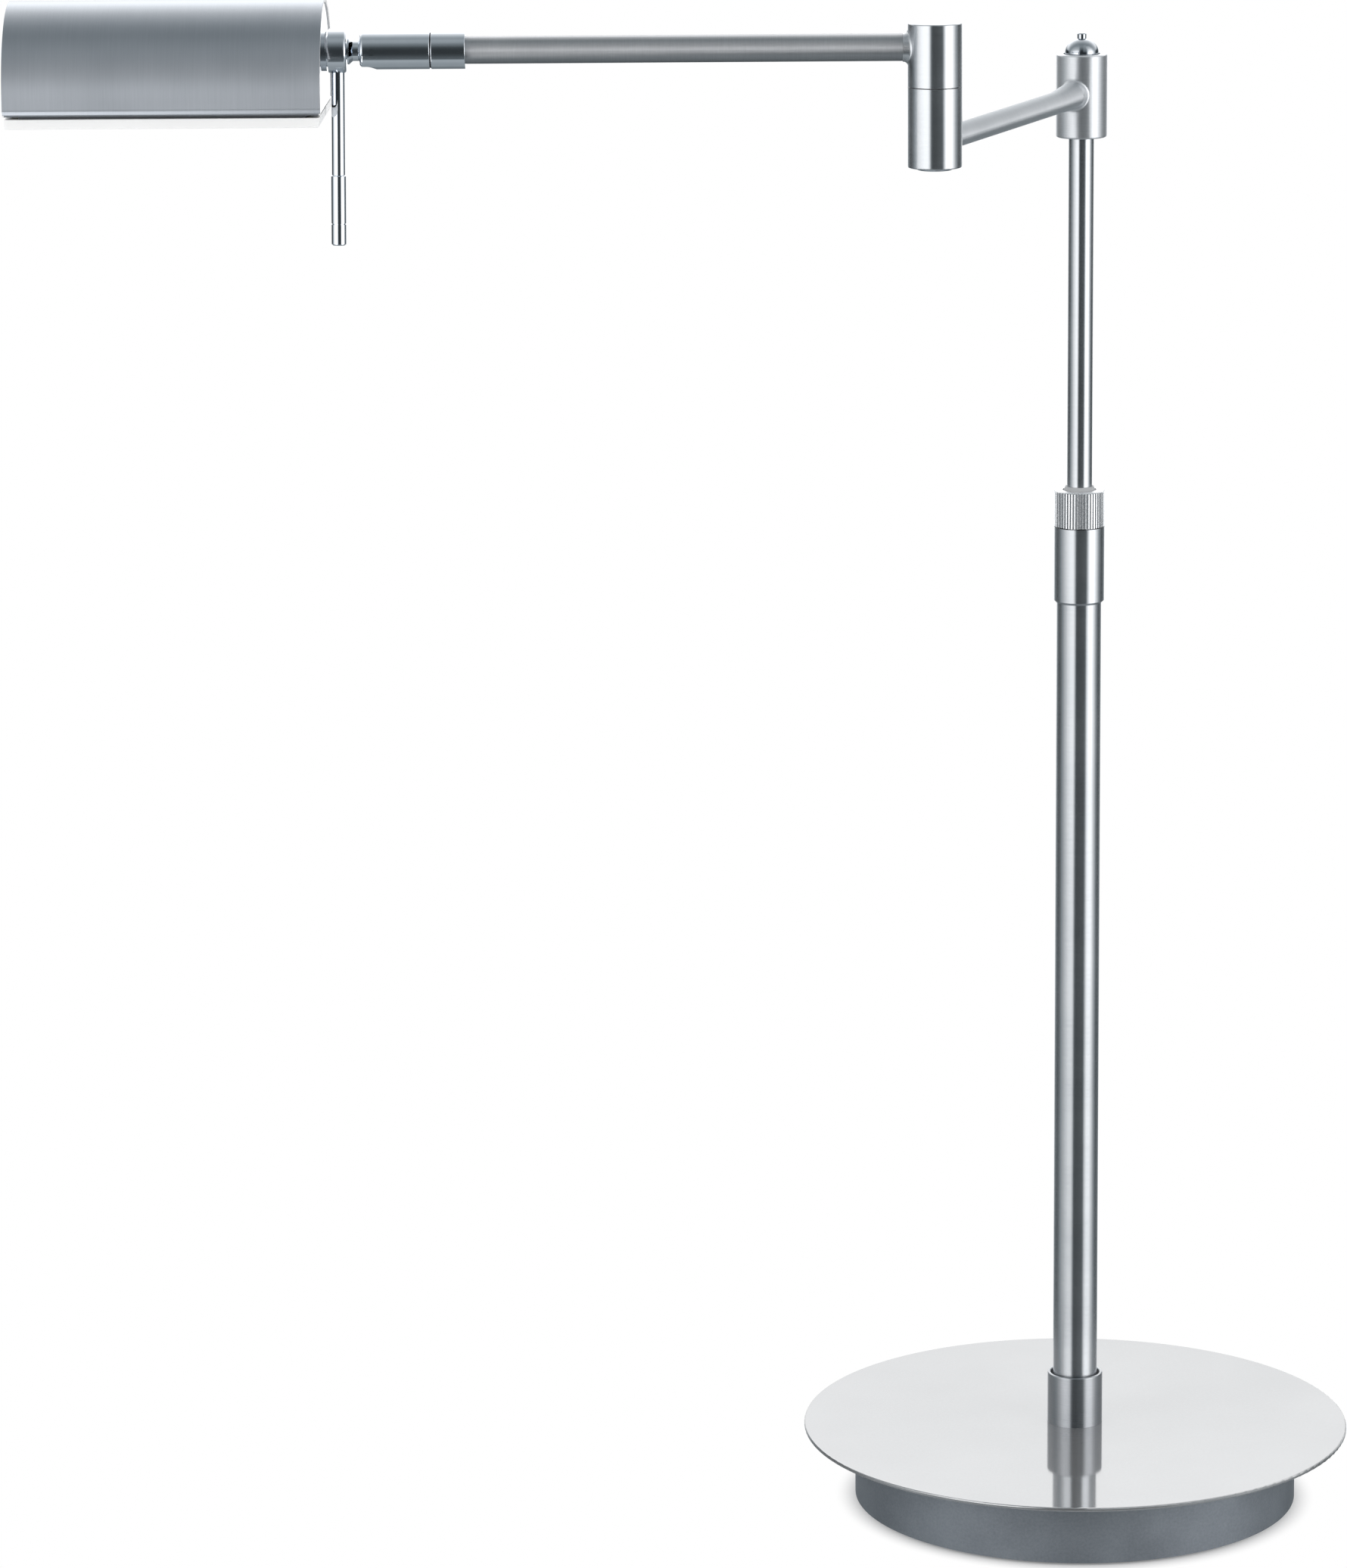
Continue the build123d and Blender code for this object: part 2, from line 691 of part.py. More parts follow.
# Coupling, with a slot in its underside that lets the stem's neck swing down
slot_half_width = neck_radius + slot_gap
neck_back = (coupling_bore_radius * cos(radians(tilt_range)) - neck_radius) / sin(radians(tilt_range))
slot_depth = coupling_end - pivot - neck_back + slot_gap - slot_half_width
slot_plane = Plane(
    origin=(elbow_centre.X - coupling_end, elbow_centre.Y, long_arm_z), x_dir=(1, 0, 0), z_dir=(0, 0, -1)
)
with BuildPart() as coupling:
    bar(long_line, coupling_start, coupling_end, coupling_radius)
    fillet(coupling.edges().group_by(Axis.X)[-1], coupling_edge_round)
    fillet(coupling.edges().group_by(Axis.X)[0], coupling_mouth_round)
    bar(long_line, coupling_start, coupling_floor, swivel_radius + running_gap, CUT)
    bar(long_line, coupling_floor, coupling_end, coupling_bore_radius, CUT)
    with BuildSketch(slot_plane):
        with Locations((slot_depth, 0)):
            Circle(slot_half_width)
            Rectangle(
                slot_depth + coupling_radius,
                2 * slot_half_width,
                align=(Align.MAX, Align.CENTER),
            )
    extrude(amount=coupling_radius, mode=CUT)
    with BuildSketch(Plane.XZ.offset(-elbow_centre.Y)):
        with Locations((elbow_centre.X - pivot, long_arm_z)):
            Circle(knuckle_pin_radius + seat_gap)
    extrude(amount=coupling_radius, both=True, mode=CUT)
pieces["coupling"] = coupling

with BuildPart() as knuckle_pin:
    with BuildSketch(Plane.XZ.offset(-elbow_centre.Y)):
        with Locations((elbow_centre.X - pivot, long_arm_z)):
            Circle(knuckle_pin_radius)
    extrude(amount=coupling_radius - knuckle_pin_inset, both=True)
pieces["knuckle_pin"] = knuckle_pin

# Stem
with BuildPart() as stem:
    with Locations(long_line.offset(pivot)):
        Sphere(ball_radius)
    bar(long_line, pivot, pivot + stem_flange_start, neck_radius)
    with Locations(long_line.offset(pivot + stem_flange_start - stem_flare)):
        Cone(neck_radius, stem_flange_radius, stem_flare, align=ALONG)
    bar(long_line, pivot + stem_flange_start, stem_flange_end, stem_flange_radius)
    bar(long_line, stem_flange_end, stem_end, stem_pin_radius)
    with BuildSketch(Plane.XZ.offset(-elbow_centre.Y)):
        with Locations((elbow_centre.X - pivot, long_arm_z)):
            Circle(knuckle_pin_radius + running_gap)
    extrude(amount=ball_radius, both=True, mode=CUT)
pieces["stem"] = stem

with BuildPart() as stem_washer:
    tube(long_line, stem_washer_start, stem_nut_start, stem_washer_radius, stem_pin_radius + seat_gap)
pieces["stem_washer"] = stem_washer

with BuildPart() as stem_nut:
    hexagon(long_line, stem_nut_start, stem_end, stem_nut_across_flats, stem_pin_radius + seat_gap)
pieces["stem_nut"] = stem_nut

# Shade hub and lever
with BuildPart() as shade_hub:
    bar(long_line, shade_hub_start, shade_hub_end, shade_hub_radius)
    fillet(shade_hub.edges().group_by(Axis.X)[-1], shade_hub_round)
    bar(long_line, shade_hub_end, hub_boss_end, hub_boss_radius)
    bar(long_line, shade_hub_start, hub_boss_end, stem_pin_radius + running_gap, CUT)
    bar(lever_line, lever_seat, shade_hub_radius + lever_radius, lever_radius + seat_gap, CUT)
pieces["shade_hub"] = shade_hub

with BuildPart() as hub_flange:
    tube(long_line, hub_flange_start, inner_plate_face, hub_flange_radius, hub_boss_radius + seat_gap)
pieces["hub_flange"] = hub_flange

with BuildPart() as lever_rod:
    bar(lever_line, lever_seat, lever_step, lever_radius)
    bar(lever_line, lever_step, lever_step + lever_pin_length, lever_pin_radius)
pieces["lever_rod"] = lever_rod

groove_place = grip_end - grip_groove_height
with BuildPart() as lever_grip:
    bar(lever_line, lever_step, grip_end, grip_radius)
    chamfer(lever_grip.edges().filter_by(GeomType.CIRCLE), grip_chamfer)
    bar(lever_line, lever_step, lever_step + lever_pin_length, lever_pin_radius + seat_gap, CUT)
    with BuildSketch(lever_line.offset(groove_place)):
        Circle(grip_radius)
        Circle(grip_radius - grip_groove_depth, mode=CUT)
    extrude(amount=grip_groove_width, mode=CUT)
pieces["lever_grip"] = lever_grip

# Shade
inner_radius = shade_radius - shade_wall
shade_bottom = shade_skirt + hem_radius * sin(radians(hem_turn))
with BuildPart() as shade_shell:
    with BuildSketch(shade_plane(shade_start)):
        shade_outline(0, shade_bottom)
    extrude(amount=shade_length)
    with BuildSketch(shade_plane(shade_start)):
        shade_outline(shade_wall, shade_bottom)
    extrude(amount=shade_length, mode=CUT)
pieces["shade_shell"] = shade_shell


def end_plate(face, depth):
    """Press a shallow pan that closes the shade: its rim runs inwards from its face."""
    rim = shade_wall + seat_gap
    with BuildSketch(shade_plane(face)) as outline:
        shade_outline(rim, shade_bottom)
    extrude(outline.sketch, amount=depth)
    floor = face + (plate_thickness if depth > 0 else -plate_thickness)
    with BuildSketch(shade_plane(floor)) as hollow:
        shade_outline(rim + plate_rim_wall, shade_bottom)
    extrude(hollow.sketch, amount=depth, mode=CUT)


with BuildPart() as end_plate_inner:
    end_plate(inner_plate_face, plate_rim_depth)
    bar(long_line, inner_plate_face, hub_boss_end, hub_boss_radius + seat_gap, CUT)
pieces["end_plate_inner"] = end_plate_inner

with BuildPart() as end_plate_outer:
    end_plate(outer_plate_face, -plate_rim_depth)
pieces["end_plate_outer"] = end_plate_outer

# The white tray under the shade: a lip below the shell's edge and a rim that plugs between the end plates
shade_middle = elbow_centre.X - (shade_start + shade_end) / 2
shade_axis_z = long_arm_z - shade_drop
lip_top = shade_axis_z - shade_bottom - diffuser_shadow_gap
lip_bottom = lip_top - diffuser_lip_height
lip_length = shade_length - 2 * diffuser_inset
lip_width = 2 * (shade_radius - diffuser_inset)
rim_length = outer_plate_face - inner_plate_face - 2 * (plate_rim_depth + seat_gap)
mouth_half_width = shade_radius - hem_radius + (hem_radius - shade_wall) * cos(radians(hem_turn))
rim_width = 2 * (mouth_half_width - seat_gap)
with BuildPart() as diffuser:
    with Locations((shade_middle, elbow_centre.Y, lip_bottom)):
        Box(lip_length, lip_width, diffuser_lip_height, align=ALONG)
    fillet(diffuser.edges().group_by(Axis.Z)[0], diffuser_inset)
    with Locations((shade_middle, elbow_centre.Y, lip_top)):
        Box(rim_length, rim_width, diffuser_shadow_gap + diffuser_rim_height, align=ALONG)
    with Locations((shade_middle, elbow_centre.Y, lip_bottom + diffuser_wall)):
        Box(
            rim_length - 2 * diffuser_wall,
            rim_width - 2 * diffuser_wall,
            diffuser_lip_height + diffuser_shadow_gap + diffuser_rim_height,
            align=ALONG,
            mode=CUT,
        )
pieces["diffuser"] = diffuser

# The light source hangs under the crown of the shell, between the end plates
crown_z = shade_axis_z + inner_radius - seat_gap
lamp_bar_bottom = crown_z - lamp_bar_depth
bar_start = inner_plate_face + plate_rim_depth + face_gap
bar_length = outer_plate_face - inner_plate_face - 2 * (plate_rim_depth + face_gap)
with BuildPart() as lamp_bar:
    with BuildSketch(shade_plane(bar_start)):
        Circle(inner_radius - seat_gap)
        with Locations((0, inner_radius - seat_gap - lamp_bar_depth)):
            Rectangle(
                2 * lamp_bar_half_width,
                lamp_bar_depth,
                align=(Align.CENTER, Align.MIN),
                mode=Mode.INTERSECT,
            )
    extrude(amount=bar_length)
pieces["lamp_bar"] = lamp_bar

board_length = bar_length - 2 * light_board_margin
with BuildPart() as light_board:
    with Locations((shade_middle, elbow_centre.Y, lamp_bar_bottom)):
        Box(
            board_length,
            2 * (lamp_bar_half_width - light_board_margin),
            light_board_thickness,
            align=(Align.CENTER, Align.CENTER, Align.MAX),
        )
pieces["light_board"] = light_board

dot_pitch = board_length / light_dot_count
with BuildPart() as light_dots:
    with Locations((shade_middle, elbow_centre.Y, lamp_bar_bottom - light_board_thickness)):
        with GridLocations(dot_pitch, dot_pitch, light_dot_count, 1):
            Box(
                light_dot_size,
                light_dot_size,
                light_dot_height,
                align=(Align.CENTER, Align.CENTER, Align.MAX),
            )
pieces["light_dots"] = light_dots

os.makedirs("parts", exist_ok=True)
for name, piece in pieces.items():
    piece.part.label = name
    export_step(piece.part, f"parts/{name}.step")
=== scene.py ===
"""Looks of the swing-arm pharmacy lamp: finishes, stage, light and camera."""
import math

import bmesh
import bpy
from mathutils import Matrix, Vector


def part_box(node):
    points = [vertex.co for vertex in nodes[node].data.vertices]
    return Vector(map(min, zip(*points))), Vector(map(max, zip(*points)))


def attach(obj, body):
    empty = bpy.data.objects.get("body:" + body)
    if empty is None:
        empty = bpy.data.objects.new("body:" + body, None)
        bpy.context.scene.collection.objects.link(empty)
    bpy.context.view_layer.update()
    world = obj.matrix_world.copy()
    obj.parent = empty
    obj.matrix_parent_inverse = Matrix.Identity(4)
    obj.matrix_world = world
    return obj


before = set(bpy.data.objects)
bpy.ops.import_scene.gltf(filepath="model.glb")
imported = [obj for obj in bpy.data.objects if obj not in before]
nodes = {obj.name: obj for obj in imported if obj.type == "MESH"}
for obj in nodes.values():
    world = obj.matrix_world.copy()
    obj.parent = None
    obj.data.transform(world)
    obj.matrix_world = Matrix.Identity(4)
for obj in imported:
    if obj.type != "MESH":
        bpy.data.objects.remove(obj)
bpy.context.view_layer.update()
scene = bpy.context.scene
scene.view_settings.view_transform = "Standard"

# Directions, and the places of the arms in metres
UP = (0.0, 0.0, 1.0)
ACROSS = (1.0, 0.0, 0.0)
ROUND_Z = (1.0, 1.0, 0.0)
ROUND_X = (0.0, 1.0, 1.0)
arm_turn = math.radians(248.05)
SHORT_ARM = (math.cos(arm_turn), math.sin(arm_turn), 0.0)
elbow_reach = 0.1538
ELBOW = (elbow_reach * SHORT_ARM[0], elbow_reach * SHORT_ARM[1], 0.0)

# Colours, and values inside the kinds of finish, with depths in metres
WHITE = (1.0, 1.0, 1.0, 1.0)
# Pale colour of the painted highlight on the shell's inner lip
LIP_HIGHLIGHT = (0.92, 0.92, 0.92, 1.0)
# Dark colour of the painted shade on the tray's rim in the gap under the shell
GAP_SHADE = (0.06, 0.065, 0.07, 1.0)
MARK_DEPTH = 0.0001
SPECK_DEPTH = 0.0002
LIP_DULLNESS = 0.9
FLUTE_WEAR = (0.96, 1.0)
GLOW_REACH = (0.003, 0.003, 0.0028)

# The part of a noise value's range that is used, and a mix node's first, second and result sockets
NOISE_LOW = 0.3
NOISE_HIGH = 0.7
MIX_SOCKETS = {"FLOAT": (2, 3, 0), "RGBA": (6, 7, 2)}


# Node graphs
def add(tree, kind, inputs=None, **settings):
    """Add a node, set its properties, and set or link its inputs."""
    made = tree.nodes.new(kind)
    for name, value in settings.items():
        setattr(made, name, value)
    for name, value in (inputs or {}).items():
        socket = made.inputs[name]
        if isinstance(value, bpy.types.NodeSocket):
            tree.links.new(value, socket)
        else:
            socket.default_value = value
    return made


def new_material(name):
    """An empty material and its node tree."""
    made = bpy.data.materials.new(name)
    made.use_nodes = True
    made.node_tree.nodes.clear()
    return made, made.node_tree


def surface(tree, shader):
    """Make a shader the material's surface."""
    add(tree, "ShaderNodeOutputMaterial", {"Surface": shader.outputs[0]})


def object_place(tree):
    """The place on the object, in metres."""
    return add(tree, "ShaderNodeTexCoord").outputs["Object"]


def axes_of(tree, vector):
    """The X, Y and Z of a vector."""
    return add(tree, "ShaderNodeSeparateXYZ", {0: vector}).outputs


def calc(tree, operation, *values, **settings):
    """The result of a maths node."""
    return add(tree, "ShaderNodeMath", dict(enumerate(values)), operation=operation, **settings).outputs[0]


def vector_calc(tree, operation, *values):
    """The result of a vector maths node: a number for a length, and a vector otherwise."""
    made = add(tree, "ShaderNodeVectorMath", dict(enumerate(values)), operation=operation)
    return made.outputs["Value" if operation == "LENGTH" else "Vector"]


def mix(tree, kind, share, first, second):
    """A blend of two numbers or two colours."""
    first_in, second_in, result = MIX_SOCKETS[kind]
    made = add(tree, "ShaderNodeMix", {0: share, first_in: first, second_in: second}, data_type=kind)
    return made.outputs[result]


def span(tree, value, start, end, low=0.0, high=1.0, **settings):
    """A value between start and end turned into one between low and high."""
    return add(
        tree,
        "ShaderNodeMapRange",
        {"Value": value, "From Min": start, "From Max": end, "To Min": low, "To Max": high},
        **settings,
    ).outputs["Result"]


def noise(tree, place, scale, detail=3.0, roughness=0.6):
    """A soft random value that changes with the place."""
    return add(
        tree,
        "ShaderNodeTexNoise",
        {"Vector": place, "Scale": scale, "Detail": detail, "Roughness": roughness},
    ).outputs["Fac"]


def spread(tree, source, low, high):
    """A noise value stretched over a range."""
    return span(tree, source, NOISE_LOW, NOISE_HIGH, low, high)


def two_tone(tree, source, first, second):
    """A colour between two tones, led by a noise value."""
    ramp = add(tree, "ShaderNodeValToRGB", {"Fac": source})
    for stop, position, tone in zip(ramp.color_ramp.elements, (NOISE_LOW, NOISE_HIGH), (first, second)):
        stop.position = position
        stop.color = (*tone, 1.0)
    return ramp.outputs["Color"]


def relief(tree, height, strength, depth):
    """A normal tilted by small ups and downs."""
    made = add(tree, "ShaderNodeBump", {"Strength": strength, "Distance": depth, "Height": height})
    return made.outputs["Normal"]


# Kinds of finish
def stretch_line(tree, place, stretch, barrel):
    """The direction in which highlights stretch: another one where an arm's foot leaves a barrel."""
    if not barrel:
        return stretch
    centre, radius, arm = barrel
    level = vector_calc(tree, "MULTIPLY", vector_calc(tree, "SUBTRACT", place, centre), ROUND_Z)
    on_arm = calc(tree, "GREATER_THAN", vector_calc(tree, "LENGTH", level), radius)
    return vector_calc(tree, "MULTIPLY_ADD", on_arm, Vector(arm) - Vector(stretch), stretch)


def on_lip(tree, place, lip):
    """One on the lip inside both ends of a half-round shell, where a highlight is painted, and none
    elsewhere.
    """
    centre, reach, radius = lip
    offset = vector_calc(tree, "SUBTRACT", place, centre)
    along = calc(tree, "ABSOLUTE", axes_of(tree, offset)["X"])
    at_end = calc(tree, "GREATER_THAN", along, reach)
    depth = vector_calc(tree, "LENGTH", vector_calc(tree, "MULTIPLY", offset, ROUND_X))
    inside = calc(tree, "LESS_THAN", depth, radius)
    return calc(tree, "MULTIPLY", at_end, inside)


def metal(
    name, light, dark, rough, grain, turn=0.0, bump=0.1, cloud=40.0, stretch=None, strength=0.0, pure=1.0,
    barrel=None, lip=None,
):
    """A metal finish: marks or specks of a given size in metres, over slow clouds of tone."""
    made, tree = new_material(name)
    place = object_place(tree)
    mark_place = add(
        tree,
        "ShaderNodeMapping",
        {"Vector": place, "Rotation": (0.0, 0.0, turn), "Scale": grain},
        vector_type="TEXTURE",
    ).outputs["Vector"]
    marks = noise(tree, mark_place, 1.0, detail=4.0, roughness=0.7)
    slow = noise(tree, place, cloud, detail=2.0, roughness=0.5)
    both = calc(tree, "MULTIPLY", calc(tree, "ADD", marks, slow), 0.5)
    colour = two_tone(tree, both, dark, light)
    metallic = pure
    # A painted highlight: the lip is made pale and nearly non-metallic
    if lip:
        lip_highlight_share = on_lip(tree, place, lip)
        colour = mix(tree, "RGBA", lip_highlight_share, colour, LIP_HIGHLIGHT)
        metallic = calc(tree, "MULTIPLY_ADD", lip_highlight_share, -LIP_DULLNESS, pure)
    looks = {
        "Base Color": colour,
        "Metallic": metallic,
        "Roughness": spread(tree, both, *rough),
        "Anisotropic": strength,
        "Normal": relief(tree, marks, bump, MARK_DEPTH),
    }
    if stretch:
        looks["Tangent"] = add(
            tree,
            "ShaderNodeVectorTransform",
            {"Vector": stretch_line(tree, place, stretch, barrel)},
            vector_type="VECTOR",
            convert_from="OBJECT",
            convert_to="WORLD",
        ).outputs["Vector"]
    surface(tree, add(tree, "ShaderNodeBsdfPrincipled", looks))
    return made


def plain(name, light, dark, rough, speck, bump, cloud=60.0, soft=0.0, rim=None):
    """A plastic, rubber or board: fine specks over slow clouds of tone, with painted shade above the height
    of its rim.
    """
    made, tree = new_material(name)
    place = object_place(tree)
    fine = noise(tree, place, 1.0 / speck)
    slow = noise(tree, place, cloud, detail=2.0, roughness=0.5)
    colour = two_tone(tree, slow, dark, light)
    # Painted shade: the part above the rim's height is dark
    if rim:
        in_gap_shade = calc(tree, "GREATER_THAN", axes_of(tree, place)["Z"], rim)
        colour = mix(tree, "RGBA", in_gap_shade, colour, GAP_SHADE)
    looks = {
        "Base Color": colour,
        "Roughness": spread(tree, fine, *rough),
        "Subsurface Weight": soft,
        "Subsurface Radius": GLOW_REACH,
        "Subsurface Scale": 1.0,
        "Normal": relief(tree, fine, bump, SPECK_DEPTH),
    }
    surface(tree, add(tree, "ShaderNodeBsdfPrincipled", looks))
    return made


def fluted(name, crest, groove_shade, rough, pure, fineness, bump, flute_floor, flute_crest, face):
    """Bright crests and painted shade in the hollows of a fluted ring, told apart by their distance from its
    axis, and a painted highlight on its top face.
    """
    made, tree = new_material(name)
    place = object_place(tree)
    reach = vector_calc(tree, "LENGTH", vector_calc(tree, "MULTIPLY", place, ROUND_Z))
    on_crest = span(tree, reach, flute_floor, flute_crest)
    on_lit_top = calc(tree, "GREATER_THAN", axes_of(tree, place)["Z"], face)
    lit_share = calc(tree, "MAXIMUM", on_crest, on_lit_top)
    fine = noise(tree, place, fineness)
    lit_share_and_wear = calc(tree, "MULTIPLY", lit_share, spread(tree, fine, *FLUTE_WEAR))
    looks = {
        "Base Color": two_tone(tree, lit_share_and_wear, groove_shade, crest),
        "Metallic": pure,
        "Roughness": spread(tree, fine, *rough),
        "Normal": relief(tree, fine, bump, MARK_DEPTH),
    }
    surface(tree, add(tree, "ShaderNodeBsdfPrincipled", looks))
    return made


def wear(material, names):
    """Give a finish to the named nodes."""
    for name in names.split():
        slots = nodes[name].data.materials
        for index in range(len(slots)):
            slots[index] = material


def specks(size):
    """A grain as large one way as another."""
    return (size, size, size)


# Brushed nickel: fine marks round each tube, which stretch the highlights along it. Paler and greyer copies
# of the same nickel are painted light and painted shade
NICKEL = {"light": (0.65, 0.668, 0.69), "dark": (0.52, 0.54, 0.565)}
# A paler copy of the same nickel: painted light on the hub and the short arm
LIT_NICKEL = {"light": (0.74, 0.757, 0.78), "dark": (0.60, 0.62, 0.645)}
# A greyer copy of the same nickel: painted shade on the collar
SHADED_NICKEL = {"light": (0.50, 0.517, 0.54), "dark": (0.39, 0.407, 0.43)}
# A paler copy of the same nickel: painted light on the long arm
LIT_ARM_NICKEL = {"light": (0.70, 0.717, 0.74), "dark": (0.57, 0.587, 0.61)}
SATIN = (0.20, 0.26)
UPRIGHT_MARKS = (0.006, 0.006, 0.0003)
ARM_MARKS = (0.0003, 0.006, 0.006)
hub_radius = 0.0097
elbow_radius = 0.0098

nickel_upright = metal(
    "nickel_upright", **NICKEL, rough=SATIN, grain=UPRIGHT_MARKS, bump=0.06, stretch=UP, strength=1.0,
    pure=0.97,
)
wear(nickel_upright, "lower_tube top_sleeve post_rod")

nickel_collar = metal(
    "nickel_collar", **SHADED_NICKEL, rough=(0.27, 0.33), grain=UPRIGHT_MARKS, bump=0.06, stretch=UP,
    strength=1.0,
)
wear(nickel_collar, "base_collar")

nickel_hub = metal(
    "nickel_hub", **LIT_NICKEL, rough=(0.36, 0.42), grain=UPRIGHT_MARKS, stretch=UP, strength=0.8, pure=0.9,
    barrel=((0.0, 0.0, 0.0), hub_radius, SHORT_ARM),
)
wear(nickel_hub, "hub_barrel")

for level, arm in (("lower", SHORT_ARM), ("upper", ACROSS)):
    nickel_elbow = metal(
        "nickel_" + level, **NICKEL, rough=SATIN, grain=UPRIGHT_MARKS, stretch=UP, strength=1.0, pure=0.96,
        barrel=(ELBOW, elbow_radius, arm),
    )
    wear(nickel_elbow, "elbow_" + level)

nickel_long = metal(
    "nickel_long", **LIT_ARM_NICKEL, rough=(0.53, 0.59), grain=ARM_MARKS, stretch=ACROSS, strength=1.0
)
wear(nickel_long, "long_arm")

nickel_short = metal(
    "nickel_short", **LIT_NICKEL, rough=(0.44, 0.52), grain=ARM_MARKS, turn=arm_turn, stretch=SHORT_ARM,
    strength=0.95,
)
wear(nickel_short, "short_arm")

# Shade: a brushed shell with a painted highlight on the lip inside its ends, and mirror end plates
lip_length = 0.0006
lip_inset = 0.0002
shell_low, shell_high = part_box("shade_shell")
shell_radius = (shell_high[1] - shell_low[1]) / 2
shell_reach = (shell_high[0] - shell_low[0]) / 2
shell_middle = (
    (shell_low[0] + shell_high[0]) / 2,
    (shell_low[1] + shell_high[1]) / 2,
    shell_high[2] - shell_radius,
)
shell = metal(
    "shell", (0.455, 0.484, 0.523), (0.385, 0.412, 0.448), rough=(0.38, 0.44), grain=(0.0004, 0.02, 0.02),
    stretch=ACROSS, strength=0.92, lip=(shell_middle, shell_reach - lip_length, shell_radius - lip_inset),
)
wear(shell, "shade_shell")

end_plate = metal(
    "end_plate", (0.58, 0.605, 0.64), (0.52, 0.545, 0.58), rough=(0.015, 0.035), grain=specks(0.004),
    bump=0.004,
)
wear(end_plate, "end_plate_inner end_plate_outer")

# Bright metal of the head, the dome with painted shade, and the fluted clamp ring with painted shade in its
# hollows and a painted highlight on its top
chrome = metal(
    "chrome", (0.77, 0.805, 0.85), (0.71, 0.75, 0.80), rough=(0.04, 0.09), grain=specks(0.004), bump=0.01,
    cloud=120.0,
)
wear(chrome, "coupling arm_ferrule knuckle_pin stem shade_hub hub_flange lever_rod lever_grip elbow_cap")

# The chrome made darker for the dome and its button: painted shade for the dark it reflects
dome = metal(
    "dome", (0.50, 0.53, 0.565), (0.45, 0.48, 0.515), rough=(0.04, 0.09), grain=specks(0.004), bump=0.01
)
wear(dome, "dome_cap button")

# The clamp ring's hollows take painted shade, and its top face a painted highlight
face_depth = 0.0003
ring_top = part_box("clamp_ring")[1][2]
ring_metal = fluted(
    "fluted", crest=(0.89, 0.905, 0.925), groove_shade=(0.15, 0.163, 0.175), rough=(0.22, 0.34), pure=0.9,
    fineness=1500.0, bump=0.02, flute_floor=0.00937, flute_crest=0.00958, face=ring_top - face_depth,
)
wear(ring_metal, "clamp_ring")

# Base: a pale smooth disc on a dark drum
plate = metal(
    "plate", (0.444, 0.451, 0.460), (0.396, 0.403, 0.412), rough=(0.05, 0.08), grain=specks(0.0008),
    bump=0.02, cloud=18.0, pure=0.74,
)
wear(plate, "base_top")

drum = metal(
    "drum", (0.30, 0.33, 0.365), (0.19, 0.21, 0.235), rough=(0.50, 0.62), grain=specks(0.0010), bump=0.2,
    cloud=45.0, pure=0.65,
)
wear(drum, "base_drum")

# Metal inside and underneath
steel = metal("steel", (0.50, 0.50, 0.50), (0.38, 0.38, 0.385), rough=(0.30, 0.45), grain=specks(0.001))
wear(steel, "bottom_cover cover_screws base_nipple base_washer base_nut tube_plug")
wear(steel, "elbow_retainer elbow_screw swivel_screw stem_washer stem_nut")

iron = metal(
    "iron", (0.16, 0.16, 0.165), (0.10, 0.10, 0.105), rough=(0.55, 0.75), grain=specks(0.0012), bump=0.4
)
wear(iron, "ballast")

aluminium = metal(
    "aluminium", (0.80, 0.81, 0.82), (0.70, 0.71, 0.72), rough=(0.30, 0.42), grain=(0.0004, 0.01, 0.01)
)
wear(aluminium, "lamp_bar")

# Rubber and plastics
rubber = plain("rubber", (0.035, 0.035, 0.037), (0.018, 0.018, 0.019), (0.70, 0.90), speck=0.0007, bump=0.5)
wear(rubber, "foot_pad")

grey_plastic = plain(
    "grey_plastic", (0.42, 0.43, 0.44), (0.36, 0.37, 0.38), (0.35, 0.5), speck=0.0006, bump=0.2
)
wear(grey_plastic, "rod_bush rod_guide hub_washer elbow_washer")

black_plastic = plain(
    "black_plastic", (0.03, 0.03, 0.032), (0.018, 0.018, 0.02), (0.40, 0.55), speck=0.0005, bump=0.3
)
wear(black_plastic, "cord_gland driver switch_body")

# Light parts: a white tray whose rim inside the lamp shade has painted shade, and the board with its dots
tray_lip = 0.0034
tray_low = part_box("diffuser")[0][2]
opal = plain(
    "opal", (0.85, 0.855, 0.855), (0.82, 0.825, 0.825), (0.35, 0.45), speck=0.0009, bump=0.05, cloud=30.0,
    soft=0.3, rim=tray_low + tray_lip,
)
wear(opal, "diffuser")

board = plain("board", (0.86, 0.86, 0.85), (0.80, 0.80, 0.79), (0.4, 0.55), speck=0.0008, bump=0.1)
wear(board, "light_board")

light_dot = plain("light_dot", (0.88, 0.74, 0.28), (0.80, 0.64, 0.18), (0.3, 0.4), speck=0.0006, bump=0.1)
wear(light_dot, "light_dots")


# Objects
def link(obj):
    """Put an object into the scene."""
    scene.collection.objects.link(obj)
    return obj


def mesh_object(name, shape):
    """An object made from a finished shape."""
    mesh = bpy.data.meshes.new(name)
    shape.to_mesh(mesh)
    shape.free()
    return link(bpy.data.objects.new(name, mesh))


